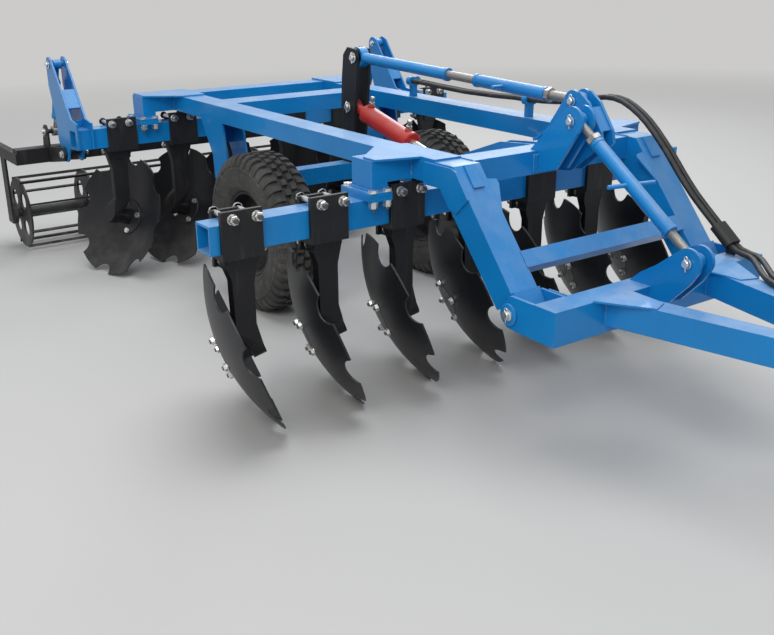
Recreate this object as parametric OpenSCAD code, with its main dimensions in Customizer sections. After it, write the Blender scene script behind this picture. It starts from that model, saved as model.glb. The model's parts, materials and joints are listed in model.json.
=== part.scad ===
// Trailed two row disc harrow, discs on single stands.
// Millimetres, X forward to the hitch, Y to the machine's left, Z up.
// Machine places: x = 0 is the front gang tube's middle, z = 0 the ground.
// The whole is then moved so that the hitch eye's middle is the origin.

/* [Rows] */
// Distance between neighbouring stands on one gang tube
stand_pitch = 340; // [300:10:380]
// Distance between the front and rear gang tube
row_gap = 2084; // [1900:10:2300]
// Side shift of a row from the middle, front to the right, rear to the left
row_shift = 200; // [0:10:220]
// Height of the gang tubes' middle above the ground
gang_z = 735; // [700:5:780]
// Gang tube section
gang_box = 100; // [90:5:120]
// Gang tube length
gang_len = 2325; // [2200:5:2500]

/* [Discs] */
// Disc diameter over the lobes
disc_d = 650; // [560:10:660]
// Radius of the disc's dish
dish_r = 670; // [450:10:720]
// Disc thickness
disc_t = 6; // [4:1:8]
// Angle of attack
attack = 18; // [10:1:25]
// Lean of the disc from upright
lean = 21; // [0:1:25]
// Number of rim notches
notches = 8; // [6:1:12]
// Radius of a rim notch
notch_r = 58; // [40:1:80]

/* [Frame] */
// Outer side of the long beams from the middle
beam_y = 525; // [450:5:600]
// Width of the long beams
beam_w = 120; // [100:5:140]
// Height of the long beams
beam_h = 80; // [70:5:100]
// Top of the frame above the ground
frame_top = 924; // [880:1:960]
// Front face of the front cross beam
front_beam_x = 261; // [200:1:320]
// Reach of the posts from the middle
post_y = 699; // [640:1:760]
// Width of the posts along the machine
post_w = 130; // [100:5:150]

/* [Drawbar] */
// Hitch eye place ahead of the front gang tube
eye_x = 1950; // [1900:10:2300]
// Hitch eye height
eye_z = 505; // [450:5:600]
// Drawbar hinge place
leg_pin_x = 628; // [580:1:680]
// Drawbar hinge height
leg_pin_z = 484; // [440:1:520]
// Hitch eye bore
eye_bore = 42; // [40:1:60]
// Side place of the slanted brace
brace_y = -55; // [-70:1:-40]

/* [Wheels] */
// Tyre diameter
tyre_d = 750; // [700:5:800]
// Tyre width
tyre_w = 225; // [200:5:270]
// Middle of the tyre from the machine's middle
wheel_y = 500; // [495:5:560]
// Wheel place behind the front gang tube
wheel_x = -1135; // [-1160:5:-1080]
// Swing axle hinge place
swing_x = -1530; // [-1560:5:-1500]
// Swing axle hinge height
swing_z = 575; // [540:5:600]
// Side place of the long link and the lift cylinder
link_y = 48; // [40:1:50]

/* [Hoses] */
// Hose diameter
hose_d = 22; // [18:1:26]
// Distance between the two hoses
hose_gap = 30; // [28:1:34]

/* [Roller] */
// Roller diameter
roller_d = 420; // [380:10:460]
// Roller place behind the front gang tube
roller_x = -2880; // [-3000:10:-2800]
// Roller length over its end rings
roller_len = 2330; // [2200:10:2440]
// Middle of the rear towers from the middle
tower_y = 1017; // [1010:1:1024]
// Room between the two plates of a rear tower
tower_gap = 64; // [56:1:70]

/* [Hidden] */

blue = [0.09, 0.36, 0.68];
black = [0.10, 0.10, 0.11];
red = [0.74, 0.11, 0.09];
steel = [0.62, 0.63, 0.65];
rubber = [0.07, 0.07, 0.075];

rear_x = -row_gap;
gang_top = gang_z + gang_box / 2;
frame_low = frame_top - beam_h;
clear = 0.3;
flange_in = post_y - 67;
flange_out = post_y + 29;
// hinges and pins: x, z
lever_low = [-1156, 913];
lever_top = [-1105, 1149];
anchor = [-400, 727];
tower_low = [425, 1052];
tower_up = [325, 1103];
brace_foot = [978, 665];
roller_pin = [-2230, 640];
depth_top = [-2340, 1085];
depth_foot = [-2495, 722];
stand_at = [1600, -170];
roller_z = roller_d / 2;
tower_in = tower_y - tower_gap / 2 - 10;
tower_out = tower_y + tower_gap / 2 + 10;
// cross members seen from the side: x, z of the middle
axle_bar = [-1180, 600];
roller_bar = [-2520, 600];
arm_y = roller_len / 2 + 45;
// hoses: x, y, z of the inner one's middle, the other runs beside it
hose_upper = [[-1196, 430, 1000], [-1140, 430, 1000], [-960, 430, 994], [-780, 430, 990],
  [-560, 430, 994], [-430, 430, 1000], [-350, 430, 1000], [-250, 430, 1004], [-160, 430, 1011],
  [-90, 430, 1021], [-20, 430, 1036], [45, 430, 1050], [110, 430, 1060], [155, 430, 1060],
  [200, 430, 1052], [245, 430, 1034], [290, 430, 1010], [327, 430, 985], [365, 430, 954],
  [402, 430, 920], [439, 430, 884], [475, 430, 846], [510, 430, 808], [545, 430, 773],
  [580, 430, 740], [630, 430, 699], [680, 430, 660], [723, 430, 626]];
hose_lower = [[740, 430, 612], [770, 430, 589], [799, 430, 573], [832, 429, 567],
  [866, 419, 567], [896, 398, 567], [925, 370, 567], [1005, 289, 567], [1040, 258, 566],
  [1080, 231, 566], [1130, 208, 566], [1200, 186, 566]];
hose_posts_x = [-1210, -350];
// middle of the guide that the hoses slide in as the drawbar tilts, and its fall
guide_at = [734, 617];
guide_fall = 38.4;
// turn of each disc from the first one's notches
disc_turn = [33, 11.5, 25.5, 1, 18, 38, 7];
disc_sag = dish_r - sqrt(dish_r * dish_r - disc_d * disc_d / 4);
hub_z = disc_d / 2 * cos(lean) - disc_sag * sin(lean) + 2;
hub_len = 106;
foot_top = hub_z + 112;

module place() {
  translate([-eye_x, 0, -eye_z]) children();
}

// box between two corners
module span(a, b) {
  translate(a) cube(b - a);
}

// bar of a given section between two points of the x-z plane, y from y0 to y1
module xz_bar(p, q, wide, y0, y1) {
  len = norm(q - p);
  ang = atan2(q[1] - p[1], q[0] - p[0]);
  translate([p[0], 0, p[1]]) rotate([0, -ang, 0])
    translate([0, y0, -wide / 2]) cube([len, y1 - y0, wide]);
}

// plate of an outline in the x-z plane, y from y0 to y1
module xz_plate(pts, y0, y1) {
  translate([0, y1, 0]) rotate([90, 0, 0])
    linear_extrude(y1 - y0) polygon(pts);
}

module y_cyl(p, d, y0, y1) {
  translate([p[0], y0, p[1]]) rotate([-90, 0, 0]) cylinder(d = d, h = y1 - y0);
}

// cylinder between two points of the x-z plane at height y
module xz_rod(p, q, d, y) {
  len = norm(q - p);
  ang = atan2(q[1] - p[1], q[0] - p[0]);
  translate([p[0], y, p[1]]) rotate([0, 90 - ang, 0]) cylinder(d = d, h = len);
}

function toward(p, q, s) = p + (q - p) * (s / norm(q - p));

// x-y outline raised from z0 to z1
module slab(pts, z0, z1) {
  translate([0, 0, z0]) linear_extrude(z1 - z0) polygon(pts);
}

module both() {
  children();
  mirror([0, 1, 0]) children();
}

// Main frame

module leg() {
  // front face line of the slanted leg
  a = [303, frame_top];
  b = [628, 538];
  ang = atan2(b[1] - a[1], b[0] - a[0]);
  n = [sin(ang), -cos(ang)];
  y1 = -beam_y + beam_w;
  xz_plate([a, b, b + 100 * n, [225, frame_low], [190, frame_low], [190, frame_top]],
    -beam_y, y1);
  difference() {
    xz_plate([b + [0, 20], b + 100 * n + [-10, 20], [leg_pin_x - 62, leg_pin_z],
      [leg_pin_x - 40, leg_pin_z - 45], [leg_pin_x + 20, leg_pin_z - 45],
      [leg_pin_x + 48, leg_pin_z]], -beam_y, y1);
    y_cyl([leg_pin_x, leg_pin_z], 40.1, -beam_y, y1);
  }
  // outer bend plate
  xz_plate([[144, 918], [300, 918], [325, 908], [392, 824], [334, 766], [296, 772],
    [240, 838], [144, 838]], -beam_y - 8, -beam_y);
}

module frame_side() {
  // long beam
  span([rear_x + post_w / 2, -beam_y, frame_low], [front_beam_x, -beam_y + beam_w, frame_top]);
  leg();
  // front and rear posts on the gang tubes
  for (x = [0, rear_x]) {
    span([x - post_w / 2, -post_y, frame_low], [x + post_w / 2, -beam_y + 10, frame_top]);
    span([x - post_w / 2, -post_y, gang_top + 30],
      [x + post_w / 2, -post_y + 67, frame_low + 1]);
    span([x - 95, -flange_out, gang_top + 15.3], [x + 95, -flange_in, gang_top + 31]);
  }
  // hanging bracket of the swing axle
  for (y = [-beam_y, -beam_y + beam_w - 12])
    difference() {
      union() {
          xz_plate([[-1712, frame_low + 20], [-1475, frame_low + 20], [-1437, 661],
            [swing_x + 48, swing_z - 20], [swing_x - 50, swing_z - 15], [-1590, 672]],
            y, y + 12);
          y_cyl([swing_x, swing_z], 100, y, y + 12);
        }
      y_cyl([swing_x, swing_z], 50.1, y - 5, y + 20);
    }
  span([-1580, -beam_y, 730], [-1568, -beam_y + beam_w, frame_low + 5]);
  // top gussets
  slab([[-160, -beam_y], [0, -post_y + 6], [75, -post_y + 6], [120, -beam_y], [200, -beam_y],
    [200, -beam_y + beam_w], [-120, -beam_y + beam_w]], frame_top, frame_top + 8);
  slab([[rear_x - 65, -post_y + 6], [rear_x + 70, -post_y + 6], [rear_x + 190, -beam_y],
    [rear_x + 190, -beam_y + beam_w], [rear_x - 65, -beam_y + beam_w]],
    frame_top, frame_top + 8);
}

module main_frame() {
  color(blue) place() {
    both() frame_side();
    // cross beams
    span([front_beam_x - 107, -beam_y + 5, frame_top - 88],
      [front_beam_x, beam_y - 5, frame_top - 0.5]);
    span([-1700, -beam_y + 5, frame_low], [-1540, beam_y - 5, frame_top - 0.5]);
    span([rear_x - post_w / 2, -beam_y - 5, frame_low],
      [rear_x + post_w / 2, beam_y + 5, frame_top - 0.5]);
    // member between the legs
    xz_bar([508, 638], [550, 590], 60, -beam_y + beam_w - 5, beam_y - beam_w + 5);
    // anchor of the lift cylinder
    for (y = [link_y - 34, link_y + 24])
      difference() {
        xz_plate([[front_beam_x - 100, frame_top - 4], [front_beam_x - 100, frame_low + 4],
          [100, frame_low + 2], [-58, gang_top + 30], [-300, 706], anchor + [-10, -42],
          anchor + [-36, -22], anchor + [-44, 8], anchor + [-24, 36], [-300, 812],
          [-60, 900]], y, y + 10);
        y_cyl(anchor, 30.1, y - 5, y + 20);
      }
    y_cyl(anchor, 30.1, link_y - 40, link_y + 40);
  }
}

// square tube along y at x, from y0 to y1
module gang_tube(x, y0, y1) {
  h = gang_box / 2;
  difference() {
    span([x - h, y0, gang_z - h], [x + h, y1, gang_z + h]);
    span([x - h + 8, y0 - 1, gang_z - h + 8], [x + h - 8, y1 + 1, gang_z + h - 8]);
  }
}

module gang_flanges(x) {
  for (s = [-1, 1])
    span([x - 95, s * (flange_in + flange_out) / 2 - 48, gang_top - 0.5],
      [x + 95, s * (flange_in + flange_out) / 2 + 48, gang_top + 15]);
}

module front_gang_tube() {
  color(blue) place() {
    gang_tube(0, -row_shift + 30 - gang_len / 2, -row_shift + 30 + gang_len / 2);
    gang_flanges(0);
  }
}

module rear_gang_tube() {
  color(blue) place() {
    gang_tube(rear_x, -tower_out, row_shift - 30 + gang_len / 2);
    gang_flanges(rear_x);
  }
}

// Stands and discs. A stand is drawn for the front row at y = 0:
// the disc sits on its right, the hub between disc and foot.

disc_c = [-62, -43, hub_z];

// local +Z along the hub axis, pointing to the dished side
module on_hub() {
  translate(disc_c) rotate([0, 0, -attack]) rotate([lean - 90, 0, 0]) children();
}

module stand() {
  h = gang_box / 2;
  low = gang_z - h - 22;
  // front clamp plate, saddle and rear clamp plate
  translate([h + 0.3, -77, gang_z - h - 8]) cube([16, 154, gang_box + 53]);
  translate([-h - 5, -77, low]) cube([2 * h + 21, 154, 21.7]);
  translate([-h - 16.3, -55, low - 48]) cube([16, 110, gang_box + 95]);
  translate([-h - 3, -45, low - 45]) cube([2 * h - 20, 90, 46]);
  // bar with shoulders
  translate([-20, 0, 0]) rotate([90, 0, 90]) linear_extrude(40)
    polygon([[-22, foot_top], [-26, low - 90], [-60, low + 1], [77, low + 1],
      [77, low - 20], [57, low - 100], [57, foot_top]]);
  // foot with the spindle of the hub
  on_hub() translate([0, 0, hub_len - 6]) cylinder(d = 100, h = 50);
  on_hub() translate([0, 0, 34]) cylinder(d = 40, h = hub_len - 34);
  difference() {
    hull() {
      translate([-20, -22, foot_top]) cube([40, 79, 20]);
      on_hub() translate([0, 0, hub_len - 2]) cylinder(d = 88, h = 44, $fn = 32);
    }
    on_hub() translate([0, 0, 20]) cylinder(d = 108, h = hub_len - 26);
  }
}

module disc(turn) {
  $fn = 120;
  on_hub() {
    difference() {
      intersection() {
        translate([0, 0, dish_r]) difference() {
          sphere(r = dish_r);
          sphere(r = dish_r - disc_t);
        }
        translate([0, 0, -1]) cylinder(d = disc_d, h = 200);
      }
      for (i = [1:notches]) rotate([0, 0, i * 360 / notches + turn])
        translate([disc_d / 2 + 12, 0, -1]) cylinder(r = notch_r, h = 200);
    }
    // hub housing on the dished side
    difference() {
      union() {
        translate([0, 0, 2]) cylinder(d = 132, h = 16);
        translate([0, 0, 10]) cylinder(d = 84, h = hub_len - 16.3);
      }
      translate([0, 0, 30]) cylinder(d = 40.1, h = hub_len);
    }
  }
}

function front_y(i) = -row_shift + (i - 3) * stand_pitch;

module front_stands() {
  color(black) place() for (i = [0:6]) translate([0, front_y(i), 0]) stand();
}

module rear_stands() {
  color(black) place() for (i = [0:6])
    translate([rear_x, -front_y(i), 0]) mirror([0, 1, 0]) stand();
}

module front_disc(i) {
  color(black) place() translate([0, front_y(i - 1), 0]) disc(disc_turn[i - 1]);
}

module rear_disc(i) {
  color(black) place() translate([rear_x, -front_y(7 - i), 0]) mirror([0, 1, 0])
    disc(disc_turn[7 - i]);
}

// Front tower with the upper links

module front_tower() {
  on_top = frame_top + 0.3;
  ahead = front_beam_x + 0.3;
  color(blue) place() {
    // lugs of the slanted brace
    for (y = [brace_y - 35, brace_y + 23])
      difference() {
        union() {
          xz_plate([[ahead - 36, on_top], [ahead + 12, 973], [384, 1084], [474, 1035],
            [404, 930], [363, 869], [ahead, frame_top - 84], [ahead, on_top]], y, y + 12);
          y_cyl(tower_low, 104, y, y + 12);
        }
        y_cyl(tower_low, 28.1, y - 5, y + 20);
      }
    // lugs of the long link
    for (y = [link_y - 35, link_y + 23])
      difference() {
        union() {
          xz_plate([[ahead - 106, on_top], tower_up + [-39, 8], tower_up + [30, 37],
            [405, 1105], [474, 1011], [484, 965], [400, 900], [340, 850],
            [ahead, frame_top - 84], [ahead, on_top]], y, y + 12);
          y_cyl(tower_up, 80, y, y + 12);
        }
        y_cyl(tower_up, 28.1, y - 5, y + 20);
      }
    xz_bar([404, 1086], [462, 1008], 10, link_y - 30, link_y + 30);
    xz_bar([ahead - 30, 960], [368, 1048], 10, brace_y - 30, brace_y + 30);
    // pad on the beam's front
    span([ahead, brace_y - 48, frame_top - 82], [ahead + 12, link_y + 48, frame_top - 12]);
  }
}

// Drawbar

module drawbar() {
  color(blue) place() {
    // cross tube with the hinge ears
    span([738, -beam_y - 14, 430], [838, beam_y + 14, 550]);
    both() for (y = [-beam_y - 14, -beam_y + beam_w + 2])
      difference() {
        xz_plate([[628, 549], [740, 549], [740, 431], [668, 431], [616, 436], [588, 462],
          [588, 510]], y, y + 12);
        y_cyl([leg_pin_x, leg_pin_z], 40.1, y - 5, y + 20);
      }
    // hinge pins
    both() y_cyl([leg_pin_x, leg_pin_z], 40, -beam_y - 24, -beam_y + beam_w + 24);
    // rails
    both() slab([[836, -309], [836, -215], [eye_x - 60, 12], [eye_x - 60, -48]],
      eye_z - 47, eye_z + 47);
    // root gussets
    both() slab([[836, -370], [836, -190], [985, -200], [1010, -262]], 549, 556);
    // bracket of the slanted brace
    for (y = [brace_y - 37, brace_y + 25])
      difference() {
        union() {
          xz_plate([[745, 549], [789, 589], [853, 630], [946, 705], [1025, 645],
            [996, 598], [917, 513], [837, 480], [837, 549]], y, y + 12);
          y_cyl(brace_foot, 102, y, y + 12);
        }
        y_cyl(brace_foot, 28.1, y - 5, y + 20);
      }
    y_cyl(brace_foot, 28.2, brace_y - 48, brace_y + 48);
    xz_bar([840, 554], [922, 620], 12, brace_y - 30, brace_y + 30);
    // sleeve of the parking stand
    difference() {
      union() {
        translate([stand_at[0], stand_at[1], 400]) cylinder(d = 66, h = 200);
        span([stand_at[0] - 30, stand_at[1], 470],
          [stand_at[0] + 30, stand_at[1] + 92, 540]);
      }
      translate([stand_at[0], stand_at[1], 390]) cylinder(d = 50.1, h = 220);
    }
    // eye plate
    difference() {
      union() {
        slab([[eye_x - 180, -60], [eye_x, -45], [eye_x, 45], [eye_x - 180, 60]],
          eye_z - 15, eye_z + 15);
        translate([eye_x, 0, eye_z - 15]) cylinder(d = 100, h = 30);
      }
      translate([eye_x, 0, eye_z - 20]) cylinder(d = eye_bore, h = 40);
    }
  }
}

module parking_stand() {
  color(steel) place() translate([stand_at[0], stand_at[1], 0]) {
    cylinder(d = 50, h = 660);
    cylinder(d = 140, h = 10);
  }
}

// Upper links

module eye_end(p, q, y, w, bore) {
  difference() {
    union() {
      y_cyl(p, 56, y - w / 2, y + w / 2);
      xz_rod(p, toward(p, q, 90), 30, y);
    }
    y_cyl(p, bore, y - w, y + w);
  }
}

module brace_sleeve() {
  color(blue) place() {
    a = toward(tower_low, brace_foot, 112);
    b = toward(tower_low, brace_foot, 545);
    difference() {
      xz_rod(a, b, 50, brace_y);
      xz_rod(toward(a, b, 30), toward(b, a, -5), 32.1, brace_y);
    }
    eye_end(tower_low, brace_foot, brace_y, 40, 28.1);
    xz_rod(toward(tower_low, brace_foot, 30), toward(tower_low, brace_foot, 120), 32, brace_y);
    y_cyl(tower_low, 28, brace_y - 46, brace_y + 46);
  }
}

module brace_rod() {
  color(steel) place() {
    eye_end(brace_foot, tower_low, brace_y, 44, 30.4);
    xz_rod(toward(brace_foot, tower_low, 22), toward(brace_foot, tower_low, 330), 32, brace_y);
  }
}

module link_tube() {
  // the eye is bored wide, so that it clears its pin as the lever swings
  color(blue) place() {
    difference() {
      xz_rod(toward(lever_top, tower_up, 42), toward(lever_top, tower_up, 672), 50, link_y);
      xz_rod(toward(lever_top, tower_up, 60), toward(lever_top, tower_up, 700), 36.1, link_y);
    }
    difference() {
      y_cyl(lever_top, 96, link_y - 21, link_y + 21);
      y_cyl(lever_top, 71, link_y - 30, link_y + 30);
    }
  }
}

module link_rod() {
  color(blue) place() {
    a = toward(tower_up, lever_top, 165);
    b = toward(tower_up, lever_top, 578);
    xz_rod(a, b, 50, link_y);
    xz_rod(toward(tower_up, lever_top, 30), toward(tower_up, lever_top, 1130), 36, link_y);
    eye_end(tower_up, lever_top, link_y, 40, 28.1);
    y_cyl(tower_up, 28, link_y - 46, link_y + 46);
  }
}

// Swing axle

axle = [wheel_x, tyre_d / 2];
swing = [swing_x, swing_z];

arm_in = 352;

module swing_axle() {
  color(blue) place() {
    // cross tube, arms and stub axles
    span([axle_bar[0] - 40, -arm_in - 1, axle_bar[1] - 40],
      [axle_bar[0] + 40, arm_in + 1, axle_bar[1] + 40]);
    both() {
      xz_plate([swing + [-45, 0], swing + [-20, 45], axle_bar + [30, 50], axle + [30, 45],
        axle + [22, -42], axle + [-30, -55], swing + [0, -50]], -arm_in - 20, -arm_in);
      y_cyl(swing, 50, -beam_y - 6, -arm_in + 52);
      y_cyl(axle, 60, -wheel_y - 62, -arm_in - 1);
    }
  }
}

module lift_lever() {
  low = axle_bar + [0, 40.3];
  color(black) place() {
    for (y = [link_y - 41, link_y + 27])
      difference() {
        xz_plate([low + [-40, 0], low + [40, 0], [-1118, 760], lever_low + [56, 0],
          [-1082, 1040], lever_top + [30, 0], lever_top + [22, 40], lever_top + [-52, 46],
          lever_top + [-88, 10], [-1210, 1040], lever_low + [-62, 0], [-1226, 760]],
          y, y + 14);
        y_cyl(lever_low, 30.1, y - 5, y + 20);
        y_cyl(lever_top, 28.1, y - 5, y + 20);
      }
    y_cyl(lever_low, 30, link_y - 50, link_y + 50);
    y_cyl(lever_top, 28, link_y - 50, link_y + 50);
  }
}

module tyre() {
  w = tyre_w / 2;
  r = tyre_d / 2;
  rotate([90, 0, 0]) rotate_extrude()
    polygon([[200, -w + 40], [215, -w + 18], [270, -w], [r - 40, -w + 12], [r - 14, -w + 22],
      [r, -w + 45], [r, w - 45], [r - 14, w - 22], [r - 40, w - 12], [270, w],
      [215, w - 18], [200, w - 40]]);
}

module rim() {
  w = tyre_w / 2;
  rotate([90, 0, 0]) {
    difference() {
      cylinder(r = 199.7, h = 2 * w - 60, center = true);
      cylinder(r = 188, h = 2 * w, center = true);
    }
    difference() {
      translate([0, 0, -6]) cylinder(r = 190, h = 12);
      translate([0, 0, -10]) cylinder(d = 60.1, h = 30);
    }
    difference() {
      translate([0, 0, -40]) cylinder(d = 110, h = 110);
      translate([0, 0, -60]) cylinder(d = 60.1, h = 123);
    }
  }
}

module at_wheel(s) {
  translate([axle[0], s * wheel_y, axle[1]]) children();
}

module right_tyre() { color(rubber) place() at_wheel(-1) tyre(); }
module left_tyre() { color(rubber) place() at_wheel(1) tyre(); }
module right_rim() { color(steel) place() at_wheel(-1) rim(); }
module left_rim() { color(steel) place() at_wheel(1) mirror([0, 1, 0]) rim(); }

// Lift cylinder

module lift_barrel() {
  color(red) place() {
    a = toward(lever_low, anchor, 105);
    b = toward(lever_low, anchor, 480);
    difference() {
      union() {
        xz_rod(a, b, 90, link_y);
        xz_rod(toward(lever_low, anchor, 18), a, 46, link_y);
      }
      xz_rod(toward(a, b, 14), toward(b, a, -10), 40.1, link_y);
      y_cyl(lever_low, 30.1, link_y - 40, link_y + 40);
    }
    difference() {
      y_cyl(lever_low, 60, link_y - 24, link_y + 24);
      y_cyl(lever_low, 30.1, link_y - 40, link_y + 40);
    }
  }
}

module lift_piston_rod() {
  // the eye is bored wide, so that it clears its pin as the lever swings
  color(steel) place() {
    xz_rod(toward(anchor, lever_low, 40), toward(anchor, lever_low, 530), 40, link_y);
    difference() {
      y_cyl(anchor, 92, link_y - 20, link_y + 20);
      y_cyl(anchor, 64, link_y - 40, link_y + 40);
    }
  }
}

// Roller

module rear_towers() {
  h = gang_box / 2 + 0.3;
  color(blue) place() both() {
    difference() {
      for (y = [-tower_out, -tower_in - 10]) union() {
        xz_plate([[rear_x + 73, 690], [rear_x + 73, 821], [rear_x - 10, 834],
          depth_top + [34, 26], depth_top + [-12, 38], depth_top + [-40, 4],
          [depth_top[0] - 42, 979], [roller_pin[0] - 98, 830], [roller_pin[0] - 90, 700],
          roller_pin + [-40, -8], roller_pin + [40, -8], [rear_x - 75, 676]], y, y + 10);
        y_cyl(roller_pin, 84, y, y + 10);
        y_cyl(depth_top, 78, y, y + 10);
      }
      span([rear_x - h, -tower_out - 1, gang_z - h], [rear_x + h, -tower_in + 1, gang_z + h]);
      y_cyl(depth_top, 24.1, -tower_out - 5, -tower_in + 5);
      y_cyl(roller_pin, 30.1, -tower_out - 5, -tower_in + 5);
    }
    // cross plates between the two
    xz_bar([rear_x - 122, 968], [rear_x - 56, 882], 10, -tower_out + 5, -tower_in - 5);
    span([rear_x - h - 14, -tower_out + 5, 700], [rear_x - h - 4, -tower_in - 5, 820]);
    y_cyl(depth_top, 24, -tower_out - 8, -tower_in + 8);
  }
}

module roller_frame() {
  b = roller_bar;
  color(black) place() {
    span([b[0] - 40, -arm_y - 30, b[1] - 40], [b[0] + 40, arm_y + 30, b[1] + 40]);
    both() {
      span([roller_x - 60, -arm_y - 40, b[1] - 40], [b[0] + 40, -arm_y, b[1] + 20]);
      span([roller_x - 40, -arm_y - 12, roller_z - 50], [roller_x + 40, -arm_y, b[1] - 30]);
      // bearing
      difference() {
        y_cyl([roller_x, roller_z], 120, -arm_y - 1, -arm_y + 22);
        y_cyl([roller_x, roller_z], 50.1, -arm_y + 1, -arm_y + 30);
      }
    }
  }
}

module roller_brackets() {
  b = roller_bar;
  color(black) place() both() {
    for (y = [-tower_out - 16, -tower_in + 6])
      difference() {
        xz_plate([b + [-36, 40.3], depth_foot + [-38, 5], depth_foot + [-14, 36],
          depth_foot + [16, 36], depth_foot + [38, 5], b + [66, 48], roller_pin + [10, 36],
          roller_pin + [36, 0], roller_pin + [10, -36], b + [60, -38], b + [40.3, -38],
          b + [40.3, 40.3]], y, y + 10);
        y_cyl(roller_pin, 30.1, y - 5, y + 20);
        y_cyl(depth_foot, 24.1, y - 5, y + 20);
      }
    y_cyl(roller_pin, 30, -tower_out - 24, -tower_in + 24);
    y_cyl(depth_foot, 24, -tower_out - 22, -tower_in + 22);
  }
}

module roller() {
  color(black) place() translate([roller_x, 0, roller_z]) rotate([90, 0, 0]) {
    cylinder(d = 50, h = 2 * arm_y - 6, center = true);
    for (k = [-3:3]) translate([0, 0, k * (roller_len - 20) / 6 - 5]) difference() {
      cylinder(d = roller_d - 16, h = 10);
      for (a = [0:3]) rotate([0, 0, a * 90 + 45])
        translate([110, 0, -1]) cylinder(d = 96, h = 12);
    }
    for (a = [0:7]) rotate([0, 0, a * 45 + 22.5])
      translate([roller_d / 2 - 15, -5, -roller_len / 2]) cube([15, 10, roller_len]);
  }
}

module depth_sleeves() {
  color(blue) place() for (y = [-tower_y, tower_y]) {
    a = toward(depth_top, depth_foot, 95);
    b = toward(depth_top, depth_foot, 315);
    difference() {
      xz_rod(a, b, 40, y);
      xz_rod(toward(a, b, 60), toward(b, a, -5), 24.1, y);
    }
    difference() {
      union() {
        y_cyl(depth_top, 48, y - 20, y + 20);
        xz_rod(depth_top, toward(depth_top, depth_foot, 100), 24, y);
      }
      y_cyl(depth_top, 24.1, y - 30, y + 30);
    }
  }
}

module depth_rods() {
  color(steel) place() for (y = [-tower_y, tower_y]) {
    xz_rod(toward(depth_foot, depth_top, 20), toward(depth_foot, depth_top, 180), 24, y);
    difference() {
      y_cyl(depth_foot, 52, y - 20, y + 20);
      y_cyl(depth_foot, 30, y - 30, y + 30);
    }
  }
}

// Hoses. A route is swept as a tube with ten sides.

function heading(p, i) =
  let(v = p[min(i + 1, len(p) - 1)] - p[max(i - 1, 0)]) v / norm(v);

function left_of(h) = [-h[1], h[0], 0] / norm([h[0], h[1]]);

function beside(p) = [for (i = [0:len(p) - 1]) p[i] + hose_gap * left_of(heading(p, i))];

function ring(c, t) =
  let(u = left_of(t), w = cross(t, u))
  [for (k = [0:9]) c + hose_d / 2 * (cos(k * 36) * u + sin(k * 36) * w)];

module hose(p) {
  n = len(p);
  skin = [for (i = [0:n - 2]) for (k = [0:9]) for (h = [0, 1])
    let(a = i * 10 + k, b = i * 10 + (k + 1) % 10)
    h == 0 ? [a, b + 10, b] : [a, a + 10, b + 10]];
  color(rubber) place()
    polyhedron([for (i = [0:n - 1]) each ring(p[i], heading(p, i))],
      concat(skin, [[for (k = [0:9]) k], [for (k = [9:-1:0]) n * 10 - 10 + k]]));
}

module hose_upper_1() { hose(hose_upper); }
module hose_upper_2() { hose(beside(hose_upper)); }
module hose_lower_1() { hose(hose_lower); }
module hose_lower_2() { hose(beside(hose_lower)); }

// posts on the long beam, the rear one with the hoses' ends, the other with eyes
module hose_posts() {
  y = hose_upper[0][1];
  z = hose_upper[0][2];
  color(blue) place() for (x = hose_posts_x) difference() {
    union() {
      span([x - 13.7, y, frame_top + 0.3], [x + 13.7, y + hose_gap, z]);
      for (s = [0, 1]) translate([x - 13.7, y + s * hose_gap, z]) rotate([0, 90, 0])
        cylinder(d = 46, h = 27.4);
    }
    if (x > -1000) for (s = [0, 1]) translate([x - 20, y + s * hose_gap, z])
      rotate([0, 90, 0]) cylinder(d = hose_d + 2, h = 40);
  }
}

module guide_hull(d, len) {
  hull() for (s = [0, 1]) translate([0, hose_lower[0][1] + s * hose_gap, 0])
    translate([guide_at[0], 0, guide_at[1]]) rotate([0, 90 + guide_fall, 0])
      cylinder(d = d, h = len, center = true);
}

// guide on the drawbar's cross tube, and the holder with the hoses' ends on its rail
module hose_holder() {
  e = hose_lower[len(hose_lower) - 1];
  fall = atan2(22, 70);
  color(steel) place() {
    difference() {
      union() {
        guide_hull(hose_d + 22, 95);
        span([745, 442, 550.3], [785, 448, 580]);
        xz_plate([[745, 560], [785, 560], [785, 584], [745, 614]], 442, 448);
      }
      guide_hull(hose_d + 12, 120);
    }
    translate(e) rotate([0, 0, -fall]) {
      translate([24, -20, 552.3 - e[2]]) cube([10, hose_gap + 40, 40]);
      for (s = [0, 1]) translate([0.5, s * hose_gap, 0]) rotate([0, 90, 0])
        cylinder(d = hose_d + 4, h = 80);
    }
  }
}

main_frame();
front_gang_tube();
rear_gang_tube();
front_stands();
rear_stands();
for (i = [1:7]) {
  front_disc(i);
  rear_disc(i);
}
front_tower();
drawbar();
parking_stand();
brace_sleeve();
brace_rod();
link_tube();
link_rod();
swing_axle();
lift_lever();
right_tyre();
left_tyre();
right_rim();
left_rim();
lift_barrel();
lift_piston_rod();
rear_towers();
roller_frame();
roller_brackets();
roller();
depth_sleeves();
depth_rods();
hose_posts();
hose_upper_1();
hose_upper_2();
hose_lower_1();
hose_lower_2();
hose_holder();
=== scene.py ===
"""Dresses a trailed disc harrow: paint and steel finishes, bolts, pins, tyres, threads,
cylinder fittings, hoses and a plain studio. Places and sizes are millimetres on the machine,
with x = 0 at the front gang tube and z = 0 on the ground. The settings, the nodes' inputs and
the finishes are in metres, as the frame is."""

import json
import math

import bmesh
import bpy
from bpy.props import FloatProperty, FloatVectorProperty, IntProperty, PointerProperty
from mathutils import Matrix, Vector


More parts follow.
